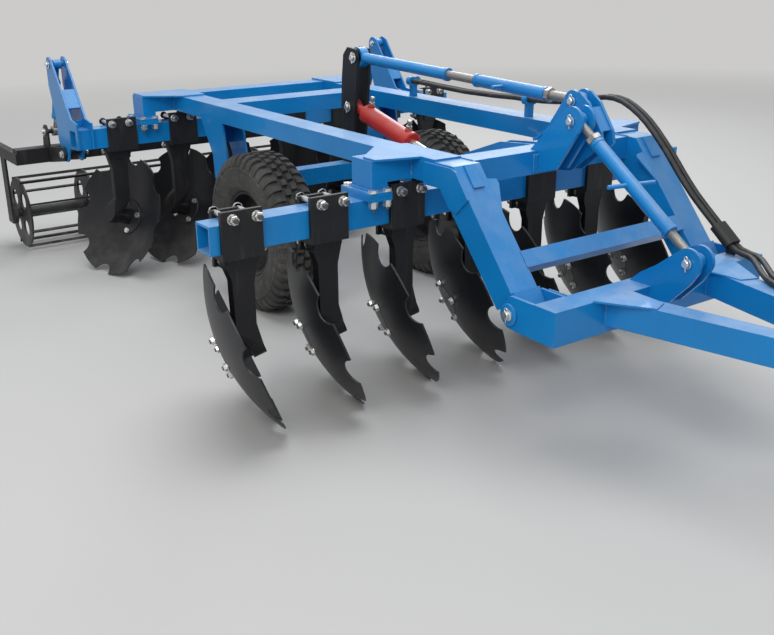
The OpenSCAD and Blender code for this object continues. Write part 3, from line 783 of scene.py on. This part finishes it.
class HARROW_OT_finishes(bpy.types.Operator):
    """Give every CAD part its finish"""

    bl_idname = "harrow.finishes"
    bl_label = "Paint the parts"

    def execute(self, context):
        chosen = context.scene.harrow_colours
        blue, deep, red, soil = (tuple(colour) for colour in (
            chosen.blue, chosen.deep_blue, chosen.red, chosen.soil))
        back_of_brace = Line(BRACE_FOOT, TOWER_LOW, BRACE_Y)
        finishes.update({
            "blue": enamel("blue_enamel", blue, deep, 0.55),
            "red": enamel("red_enamel", red, tuple(v * 0.75 for v in red), 0.35),
            "black": charcoal("charcoal_satin", tuple(chosen.black), (0.014, 0.014, 0.016), soil,
                              0.75, 0.46),
            "disc": charcoal("disc_satin", tuple(chosen.disc), (0.015, 0.016, 0.020), soil, 0.30,
                             0.36),
            "zinc": bare_steel("bright_zinc", (0.82, 0.82, 0.80), (0.55, 0.54, 0.52), 0.24),
            "steel": bare_steel("grey_steel", (0.42, 0.41, 0.40), (0.24, 0.22, 0.20), 0.36),
            "chrome": bare_steel("hard_chrome", (0.80, 0.80, 0.80), (0.66, 0.66, 0.66), 0.09,
                                 25),
            "tyre": tyre_rubber("dusty_rubber"),
            "holder": hose_holder_finish("hose_holder"),
            "hose": hose_cover("hose_cover"),
            "brace": enamel("brace_enamel", blue, deep, 0.55, BRACE, [(0.030, 0.108)]),
            "link": enamel("link_enamel", blue, deep, 0.55, LINK,
                           [(0.034, 0.163), (0.580, 1.2)]),
            "rod": enamel("threaded_rod", blue, deep, 0.3, back_of_brace, [(0.030, 0.7)]),
        })
        wears = {name: finish for finish, names in WEARERS.items() for name in names}
        for name, part in nodes.items():
            finish = finishes[wears.get(name, "disc" if "disc" in name else "blue")]
            if not part.material_slots:
                part.data.materials.append(finish)
            for slot in part.material_slots:
                slot.material = finish
        return {"FINISHED"}


# Bolts


def stand_bolts(face, height, steps):
    """Two bolts at each stand, on the front or, with a face below 0, the back of the gang
    tubes. The rear row is turned round."""
    places = []
    for y in FRONT_ROW:
        for x, side, middle in ((0, 1, y), (REAR, -1, -y)):
            for step in steps:
                places.append(((x + face, middle + side * step, height),
                               (math.copysign(1, face), 0, 0)))
    return places


def flange_bolts():
    """Nuts under the flanges that carry the gang tubes."""
    return [((x + dx, side * y, FLANGE_LOW), (0, 0, -1)) for x in (0, REAR)
            for side in (-1, 1) for dx in (-80, 80) for y in (646, 707)]


class HARROW_OT_clamp_bolts(bpy.types.Operator):
    """Bolt the stands to the gang tubes and the tubes to the frame"""

    bl_idname = "harrow.clamp_bolts"
    bl_label = "Clamp bolts"

    def execute(self, context):
        chosen = context.scene.harrow_fasteners
        # height, and steps to both sides of the stand: in front on the clamp plates, and
        # lower down at the back on the shanks
        over = stand_bolts(CLAMP_FACE, 803, (-36, 54))
        under = stand_bolts(-CLAMP_FACE, 641, (-34, 56))
        for name, places, grip, head in (
                ("clamp_bolts", over, 2 * CLAMP_FACE / 1000, 0.010),
                ("shank_bolts", under, 0.040, 0.001),
                ("flange_bolts", flange_bolts(), 0.031, 0.010)):
            sizes = (chosen.flats, chosen.nut, chosen.washer, 0.0092, 0.009, grip, head)
            bolt_up(name, places, sizes, "frame")
        return {"FINISHED"}


def disc_seat(disc):
    """Middle of a disc on its hub, and the hub's axis."""
    axis = Vector(joints[disc + "_spin"]["axis"])
    return joint_place(disc + "_spin") - SPINDLE * axis, axis


def disc_places(disc, turn, mirrored, count):
    """Bolt places on one disc: nuts on the round side, facing away from the hub."""
    middle, axis = disc_seat(disc)
    side = axis.cross(Vector((0, 0, 1))).normalized()
    other = axis.cross(side)
    places = []
    for k in range(count):
        a = 2 * math.pi * k / count + turn
        if mirrored:
            a = math.pi - a
        spoke = math.cos(a) * side + math.sin(a) * other
        places.append((middle + axis * DISC_FACE + DISC_CIRCLE * spoke, -axis))
    return places


class HARROW_OT_disc_bolts(bpy.types.Operator):
    """Bolt each disc and its ring to the hub"""

    bl_idname = "harrow.disc_bolts"
    bl_label = "Disc bolts"

    def execute(self, context):
        chosen = context.scene.harrow_fasteners
        sizes = (chosen.disc_flats, 0.012, 0.0150, 0.0075, 0.006, 0.0150, 0.009)
        for n in range(1, 8):
            for row, index in (("front", n - 1), ("rear", 7 - n)):
                disc = f"{row}_disc_{n}"
                turn = math.radians(DISC_TURN[index])
                bolt_up(disc + "_bolts", disc_places(disc, turn, row == "rear", chosen.disc_bolts),
                        sizes, disc)
                ring = Shape()
                ring.lathe(*disc_seat(disc), [(89, 11.6), (95, 12.6), (95, 16.8), (92, 19.2),
                                              (68, 19.4), (44, 19.6)], 48)
                ring.fit(disc + "_flange", "disc", disc)
        return {"FINISHED"}


# Pins


def pin_end(shape, point, y, way, radius, pin, cotter=True):
    """A pale disc on a pin's end, with or without a split pin through the tip."""
    base = off_plane(point, y)
    axis = Vector((0, way, 0))
    shape.lathe(base, axis, [(radius * 0.94, 0), (radius, 0.8), (radius, 3.6),
                             (radius * 0.92, 4.4)], 28)
    shape.lathe(base, axis, [(pin, 4), (pin, 13), (pin - 2.5, 15.5)], 20)
    if cotter:
        eye = base + axis * 9.5
        loop = [eye + Vector((7 * math.sin(a), 0, pin + 5 + 6.5 * math.cos(a)))
                for a in [2 * math.pi * k / 10 for k in range(10)]]
        shape.sweep(loop, 1.9, 6, wrap=True)
        shape.sweep([eye + Vector((0, 0, pin + 1)), eye + Vector((0, 0, -pin - 3)),
                     eye + Vector((3, 0, -pin - 12))], 2.2, 6)


class HARROW_OT_pins(bpy.types.Operator):
    """Head and split pin on each hinge pin"""

    bl_idname = "harrow.pins"
    bl_label = "Pin heads"

    def execute(self, context):
        scale = context.scene.harrow_fasteners.pin_head * 1000 / PIN_HEAD
        shapes = {}
        for body, point, middle, reach, radius, pin in PINS:
            shape = shapes.setdefault(body, Shape())
            pin_end(shape, point, middle - reach, -1, radius * scale, pin)
            pin_end(shape, point, middle + reach, 1, radius * scale, pin, cotter=False)
        bosses = Shape()
        for side in (-1, 1):
            bosses.lathe(off_plane(LEG_PIN, side * LEG_SIDE), (0, side, 0),
                         [(38, 0), (38, 5.5), (36, 7), (24, 7.4)], 36)
            pin_end(shapes["drawbar"], LEG_PIN, side * (LEG_SIDE + 7), side, 21 * scale, 15)
        bosses.fit("drawbar_bosses", "blue", "drawbar")
        # the rear towers' two pins show at both ends, past the lugs that they carry
        for body, point, pin, proud in (("frame", DEPTH_TOP, 12, 1),
                                        ("roller_frame", ROLLER_PIN, 15, 17)):
            shape = shapes.setdefault(body, Shape())
            for side in (-1, 1):
                pin_end(shape, point, side * (TOWER_OUT + proud), side, 20 * scale, pin,
                        cotter=False)
                pin_end(shape, point, side * (TOWER_IN - proud), -side, 18 * scale, pin,
                        cotter=False)
        for side in (-1, 1):
            pin_end(shapes["roller_frame"], DEPTH_FOOT, side * (TOWER_OUT + 17), side,
                    18 * scale, 12)
        for body, shape in shapes.items():
            shape.fit(body + "_pins", "zinc", body)
        return {"FINISHED"}


# Leg plates


class HARROW_OT_leg_plates(bpy.types.Operator):
    """Doubling strip and corner plate on each slanted leg"""

    bl_idname = "harrow.leg_plates"
    bl_label = "Leg plates"

    def execute(self, context):
        shape = Shape()
        # outline along the leg and from the middle, then bottom and top over the leg's face
        strip = ([(4, 484), (4, 436), (94, 436), (94, 484)], -1, 8)
        corner = ([(62, 408), (70, 364), (88, 362), (196, 404), (196, 408)], -9, -0.6)
        for side in (-1, 1):
            for outline, low, high in (strip, corner):
                edges = [Line(LEG_TOP, LEG_FOOT, side * y) for _, y in outline]
                shape.loops([[edge.at(t) + edge.up * level
                              for edge, (t, _) in zip(edges, outline)]
                             for level in (low, high)])
        shape.fit("leg_plates", "blue", "frame", 25)
        return {"FINISHED"}


# Turnbuckles


def hex_nut(line, start, end, flats, name, body):
    """A grey lock nut on a screw."""
    shape = Shape()
    r = flats / math.sqrt(3)
    long = end - start
    shape.lathe(line.at(start), line.way,
                [(r * 0.9, 0), (r, 2), (r, long - 2), (r * 0.9, long)], 6, 0.4)
    shape.fit(name, "steel", body)


def end_collar(shape, line, start):
    """One of the two raised ends of a turnbuckle's sleeve."""
    shape.lathe(line.at(start), line.way, [(25.2, 0), (27.5, 1.5), (27.5, 14.5), (25.2, 16)],
                28)


class HARROW_OT_turnbuckles(bpy.types.Operator):
    """Lock nuts, collars and turning handles of the slanted brace, link and depth screws"""

    bl_idname = "harrow.turnbuckles"
    bl_label = "Turnbuckles"

    def execute(self, context):
        hex_nut(BRACE, 88, 111.5, 50, "brace_lock_nut", "brace_sleeve")
        sleeve = Shape()
        end_collar(sleeve, BRACE, 112)
        end_collar(sleeve, BRACE, 529)
        across = Vector((0.2, 0.98, 0))
        sleeve.lathe(BRACE.at(322) - 98 * across, across,
                     [(6, 0), (8, 2), (8, 196), (6, 198)], 14)
        sleeve.fit("brace_handle", "blue", "brace_sleeve")

        hex_nut(LINK, 140, 164, 50, "link_lock_nut", "link_rod")
        sleeve = Shape()
        end_collar(sleeve, LINK, 165)
        end_collar(sleeve, LINK, 562)
        sleeve.lathe(LINK.at(395) - Vector((0, 78, 0)), (0, 1, 0),
                     [(6, 0), (8, 2), (8, 118), (6, 120)], 14)
        sleeve.fit("link_handle", "blue", "link_rod")
        tube = Line(LEVER_TOP, TOWER_UP, LINK_Y)
        mouth = Shape()
        mouth.lathe(tube.at(652), tube.way, [(25.2, 0), (28, 1.5), (28, 18), (25.2, 20)], 28)
        mouth.fit("link_tube_collar", "blue", "link_tube")

        screws = Shape()
        for y in (-TOWER_Y, TOWER_Y):
            screw = Line(DEPTH_TOP, DEPTH_FOOT, y)
            screws.lathe(screw.at(78), screw.way,
                         [(13, 0), (20.3, 19), (22, 22), (22, 34), (20.3, 36)], 24)
            screws.lathe(screw.at(288), screw.way,
                         [(20.3, 0), (22.5, 2), (22.5, 25), (19, 27)], 24)
            screws.lathe(screw.at(200) - Vector((0, 22, 0)), (0, 1, 0),
                         [(5, 0), (6, 2), (6, 42), (5, 44)], 12)
        screws.fit("depth_screw_collars", "blue", "depth_sleeves")
        return {"FINISHED"}


# Lift cylinder


class HARROW_OT_cylinder(bpy.types.Operator):
    """Gland, end cap and ports of the lift cylinder"""

    bl_idname = "harrow.cylinder"
    bl_label = "Cylinder fittings"

    def execute(self, context):
        way, up = CYLINDER.way, CYLINDER.up
        gland = Shape()
        gland.lathe(CYLINDER.at(452), way,
                    [(45.2, 0), (48, 2), (48, 24), (44, 28), (40, 30), (22, 30.5)], 40)
        gland.lathe(CYLINDER.at(99), way,
                    [(26, 0), (40, 4), (46.5, 8), (46.5, 22), (45.2, 24)], 40)
        ports = Shape()
        for at in (132, 438):
            gland.lathe(CYLINDER.at(at) + up * 40, up, [(17, 0), (17, 12), (14, 15)], 20)
            base = CYLINDER.at(at) + up * 55
            ports.lathe(base, up, [(13, 0), (15, 1.5), (15, 12), (13, 14)], 6)
            ports.lathe(base, up, [(9, 12), (9, 24), (7, 26)], 16)
            ports.lathe(base + up * 24, up,
                        [(11, 0), (12.5, 1.5), (12.5, 12), (10, 15), (4, 16)], 6)
        gland.fit("cylinder_gland", "red", "lift_barrel")
        ports.fit("cylinder_ports", "steel", "lift_barrel")
        return {"FINISHED"}


# Tyres


def carcass(middle, lug):
    """The tyre without its lugs, as one closed skin."""
    wall = TYRE_W / 2
    crown = TYRE_R - lug
    # radius and distance from the tyre's middle plane, from the bead to the middle groove
    half = [(200, wall - 43), (203, wall - 27), (211, wall - 17), (222, wall - 11),
            (228, wall - 6), (234, wall - 8), (242, wall - 5.5), (256, wall - 2),
            (272, wall - 0.4), (288, wall - 0.6), (302, wall - 2.4), (306, wall - 0.9),
            (312, wall - 1.2), (316, wall - 5), (330, wall - 9), (342, wall - 14),
            (352, wall - 22), (crown - 2, wall - 34), (crown, wall - 48), (crown, 26),
            (crown - 1.5, 22), (crown - 6, 20), (crown - 6, 10), (crown - 1.5, 8), (crown, 5)]
    outline = half + [(r, -y) for r, y in reversed(half)]
    shape = Shape()
    turns = [2 * math.pi * k / 96 for k in range(96)]
    shape.loops([[middle + Vector((r * math.cos(a), y, r * math.sin(a))) for r, y in outline]
                 for a in turns], wrap=True)
    return shape.object("carcass", "tyre")


def lug_mesh(outline, half, taper, foot=340):
    """One tread block round the X axis: its outline in (radius, y), thick along Z. Half its
    thickness is given at the foot's radius, and the taper is what it loses to the top."""
    shape = Shape()
    top = max(r for r, _ in outline)
    shape.loops([[(r, y, z * (half - taper * (r - foot) / (top - foot))) for r, y in outline]
                 for z in (-1, 1)])
    bmesh.ops.recalc_face_normals(shape.mesh, faces=shape.mesh.faces)
    bmesh.ops.scale(shape.mesh, vec=(0.001, 0.001, 0.001), verts=shape.mesh.verts)
    data = bpy.data.meshes.new("lug")
    shape.mesh.to_mesh(data)
    shape.mesh.free()
    return data


def merge(name, parts, finish):
    """Joins plain objects into one mesh object."""
    joined = bmesh.new()
    for part in parts:
        joined.from_mesh(part.data)
        bpy.data.objects.remove(part)
    return made_of(name, joined, finish)


class HARROW_OT_tyres(bpy.types.Operator):
    """Lugged tyres and their wheel nuts"""

    bl_idname = "harrow.tyres"
    bl_label = "Tyres"

    def execute(self, context):
        chosen = context.scene.harrow_tyres
        lug = chosen.lug_height * 1000
        crown = TYRE_R - lug
        wall = TYRE_W / 2
        shoulder = [(crown - 4, 44), (TYRE_R - 0.6, 46), (TYRE_R - 1.2, 72),
                    (TYRE_R - 8, wall - 26), (352, wall - 13), (332, wall - 4.5),
                    (322, wall - 3.6), (322, wall - 9), (345, wall - 20),
                    (crown - 6, wall - 40)]
        centre = [(crown - 4, 5.5), (TYRE_R - 0.4, 7), (TYRE_R - 0.6, 33), (crown - 4, 35)]
        for name, side in (("right", -1), ("left", 1)):
            middle = Vector((WHEEL_X, side * WHEEL_Y, TYRE_R))
            parts = [carcass(middle, lug)]
            for outline, half, taper, phase in ((shoulder, 15, 3, 0), (centre, 17, 2.5, 0.5)):
                for flip, shift in ((1, 0), (-1, 0.5)):
                    block = lug_mesh([(r, flip * y) for r, y in outline], half, taper)
                    parts.append(grow("lugs", block, "round",
                                      {"Count": chosen.lugs, "Phase": phase + shift,
                                       "Middle": metres(middle)}, "tyre"))
            tyre = merge(name + "_tread", parts, "tyre")
            for p in tyre.data.polygons:
                p.use_smooth = True
            tyre.data.set_sharp_from_angle(angle=math.radians(32))
            fit(tyre, name + "_wheel")
            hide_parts(name + "_tyre")
            face = middle + Vector((0, side * 6, 0))
            turns = [2 * math.pi * k / 6 for k in range(6)]
            places = [(face + WHEEL_CIRCLE * Vector((math.cos(a), 0, math.sin(a))),
                       (0, side, 0)) for a in turns]
            bolt_up(name + "_wheel_nuts", places,
                    (0.024, 0.014, 0.014, 0.007, 0.006, 0.012, 0.008), name + "_wheel")
        return {"FINISHED"}


# Hoses


def beside(route):
    """The route HOSE_GAP to the left, as seen from above."""
    moved = []
    for i, p in enumerate(route):
        run = Vector(route[min(i + 1, len(route) - 1)]) - Vector(route[max(i - 1, 0)])
        left = Vector((-run.y, run.x, 0)).normalized()
        moved.append(Vector(p) + HOSE_GAP * left)
    return moved


class HARROW_OT_hoses(bpy.types.Operator):
    """Lay the two hoses along the far beam and down to the drawbar"""

    bl_idname = "harrow.hoses"
    bl_label = "Hoses"

    def execute(self, context):
        for name, route, body, lay in (("upper", HOSE_UPPER, "frame", "hanging"),
                                       ("lower", HOSE_LOWER, "drawbar", "loose")):
            for n, path in ((1, route), (2, beside(route))):
                points = [metres(p) for p in path]
                curve = bpy.data.curves.new(f"hose_line_{name}_{n}", "CURVE")
                curve.dimensions = "3D"
                curve.bevel_depth = HOSE_D / 2000
                curve.bevel_resolution = 4
                curve.use_fill_caps = True
                spline = curve.splines.new("POLY")
                spline.points.add(len(points) - 1)
                for knot, p in zip(spline.points, points):
                    knot.co = (*p, 1)
                spline.use_smooth = True
                hose = bpy.data.objects.new(f"hose_line_{name}_{n}", curve)
                context.scene.collection.objects.link(hose)
                curve.materials.append(finishes["hose"])
                fit(hose, body)
                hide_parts(f"hose_{name}_{n}")
        return {"FINISHED"}


# Welds


def frame_seams():
    """Both ends of each corner where the frame's tubes and plates meet."""
    seams = []
    for side in (-1, 1):
        for x in (0, REAR):
            # beam to post, the post's sides to the flange, and its outer side
            seams += [((x - 65, side * 632, FLANGE_TOP), (x + 65, side * 632, FLANGE_TOP)),
                      ((x - 66.5, side * 697, FLANGE_TOP), (x - 66.5, side * 634, FLANGE_TOP)),
                      ((x + 66.5, side * 697, FLANGE_TOP), (x + 66.5, side * 634, FLANGE_TOP)),
                      ((x - 65, side * 700, FLANGE_TOP), (x + 65, side * 700, FLANGE_TOP)),
                      ((x + 66.5, side * 526.5, 846), (x + 66.5, side * 526.5, 922))]
        seams.append(((262.5, side * 405, 925), (156, side * 405, 925)))
    for y in (BRACE_Y - 50, LINK_Y + 50):
        seams.append(((262, y, 844), (262, y, 910)))
    return seams


def drawbar_seams():
    """Both ends of each corner between the drawbar's rails and its crossbeam."""
    seams = []
    for side in (-1, 1):
        seams += [((839.5, side * 216, 460), (839.5, side * 216, 548)),
                  ((839.5, side * 308, 460), (839.5, side * 308, 548)),
                  ((738, side * 389.5, 551), (660, side * 389.5, 549))]
    return seams


class HARROW_OT_welds(bpy.types.Operator):
    """Weld beads in the corners of the frame and drawbar"""

    bl_idname = "harrow.welds"
    bl_label = "Welds"

    def execute(self, context):
        for body, seams in (("frame", frame_seams()), ("drawbar", drawbar_seams())):
            data = bpy.data.meshes.new("seams")
            data.from_pydata([metres(end) for seam in seams for end in seam],
                             [(2 * k, 2 * k + 1) for k in range(len(seams))], [])
            bead = grow(body + "_welds", data, "bead",
                        {"Bead radius": 0.0042, "Spacing": 0.0045}, "blue")
            for p in bead.data.polygons:
                p.use_smooth = True
            fit(bead, body)
        return {"FINISHED"}


# Stage


def floor_finish(colour, backdrop):
    """Matt floor that runs out into the backdrop's colour far from the machine."""
    look = Finish("studio_floor")
    out = look.node("ShaderNodeVectorMath", {"operation": "LENGTH"}, {0: look.place}, "Value")
    matt = look.node("ShaderNodeBsdfDiffuse", None, {"Color": colour})
    far = look.node("ShaderNodeEmission", None, {"Color": backdrop, "Strength": 1})
    look.show(look.node("ShaderNodeMixShader", None,
                        {0: look.seen() * out.ramp(5.0, 13.0), 1: matt, 2: far}))
    return look.material


class HARROW_OT_stage(bpy.types.Operator):
    """Floor, soft light and the camera of the photograph"""

    bl_idname = "harrow.stage"
    bl_label = "Stage"

    def floor(self, settings):
        disc = bmesh.new()
        bmesh.ops.create_circle(disc, cap_ends=True, segments=64, radius=90)
        for v in disc.verts:
            v.co.z = GROUND - 0.0005
        finishes["floor"] = floor_finish(tuple(settings.floor), tuple(settings.backdrop))
        made_of("studio_floor", disc, "floor")

    def light(self, scene, backdrop):
        world = bpy.data.worlds.new("studio")
        scene.world = world
        world.use_nodes = True
        sky = Nodes(world.node_tree)
        dome = sky.node("ShaderNodeBackground", None,
                        {"Color": (0.86, 0.93, 1.0), "Strength": 0.5})
        plain = sky.node("ShaderNodeBackground", None, {"Color": backdrop, "Strength": 1})
        sky.show(sky.node("ShaderNodeMixShader", None, {0: sky.seen(), 1: dome, 2: plain}),
                 "ShaderNodeOutputWorld")
        # name, place, width in metres, watts, colour
        lamps = (("key", (1.6, -5.4, 5.2), 4.0, 235, (1.0, 0.985, 0.96)),
                 ("top", (-2.6, 0.4, 6.0), 6.0, 300, (0.97, 0.985, 1.0)),
                 ("back", (-7.0, 4.5, 4.0), 4.5, 190, (0.96, 0.98, 1.0)))
        aim = Vector((-2.2, 0, -0.1))
        for name, place, width, power, colour in lamps:
            lamp = bpy.data.lights.new(name, "AREA")
            lamp.shape = "DISK"
            lamp.size = width
            lamp.energy = power
            lamp.color = colour
            holder = bpy.data.objects.new(name, lamp)
            holder.location = place
            holder.rotation_euler = (aim - Vector(place)).to_track_quat("-Z", "Y").to_euler()
            scene.collection.objects.link(holder)

    def camera(self, scene, length):
        spin, dip, roll = (math.radians(v) for v in CAMERA_TURN)
        ahead = Vector((-math.sin(spin) * math.cos(dip), math.cos(spin) * math.cos(dip),
                        -math.sin(dip)))
        right = Vector((math.cos(spin), math.sin(spin), 0))
        down = ahead.cross(right)
        across = math.cos(roll) * right + math.sin(roll) * down
        fall = math.cos(roll) * down - math.sin(roll) * right
        turn = Matrix((across, -fall, -ahead)).transposed()
        lens = bpy.data.cameras.new("camera")
        lens.sensor_fit = "HORIZONTAL"
        lens.sensor_width = 36
        lens.lens = length
        lens.clip_end = 300
        camera = bpy.data.objects.new("camera", lens)
        camera.matrix_world = Matrix.Translation(CAMERA_PLACE) @ turn.to_4x4()
        scene.collection.objects.link(camera)
        scene.camera = camera

    def execute(self, context):
        scene = context.scene
        settings = scene.harrow_stage
        self.floor(settings)
        self.light(scene, tuple(settings.backdrop))
        self.camera(scene, settings.lens)
        scene.view_settings.view_transform = "Standard"
        return {"FINISHED"}


# Panel

STEPS = (HARROW_OT_stage, HARROW_OT_finishes, HARROW_OT_hoses, HARROW_OT_clamp_bolts,
         HARROW_OT_disc_bolts, HARROW_OT_pins, HARROW_OT_leg_plates, HARROW_OT_turnbuckles,
         HARROW_OT_cylinder, HARROW_OT_tyres, HARROW_OT_welds)
GROUPS = {"harrow_colours": HarrowColours, "harrow_fasteners": HarrowFasteners,
          "harrow_tyres": HarrowTyres, "harrow_stage": HarrowStage}


class HARROW_PT_panel(bpy.types.Panel):
    """Sizes, colours and steps of the harrow's dressing"""

    bl_idname = "HARROW_PT_panel"
    bl_label = "Disc harrow"
    bl_space_type = "VIEW_3D"
    bl_region_type = "UI"
    bl_category = "Harrow"

    def draw(self, context):
        for name, group in GROUPS.items():
            box = self.layout.box()
            settings = getattr(context.scene, name)
            for key in group.__annotations__:
                box.prop(settings, key)
        for step in STEPS:
            self.layout.operator(step.bl_idname)


def register():
    for kind in (*GROUPS.values(), *STEPS, HARROW_PT_panel):
        bpy.utils.register_class(kind)
    for name, group in GROUPS.items():
        setattr(bpy.types.Scene, name, PointerProperty(type=group))


def unregister():
    for name in GROUPS:
        delattr(bpy.types.Scene, name)
    for kind in reversed((*GROUPS.values(), *STEPS, HARROW_PT_panel)):
        bpy.utils.unregister_class(kind)


def main():
    register()
    for step in STEPS:
        group, name = step.bl_idname.split(".")
        getattr(getattr(bpy.ops, group), name)()


if __name__ == "__main__":
    main()
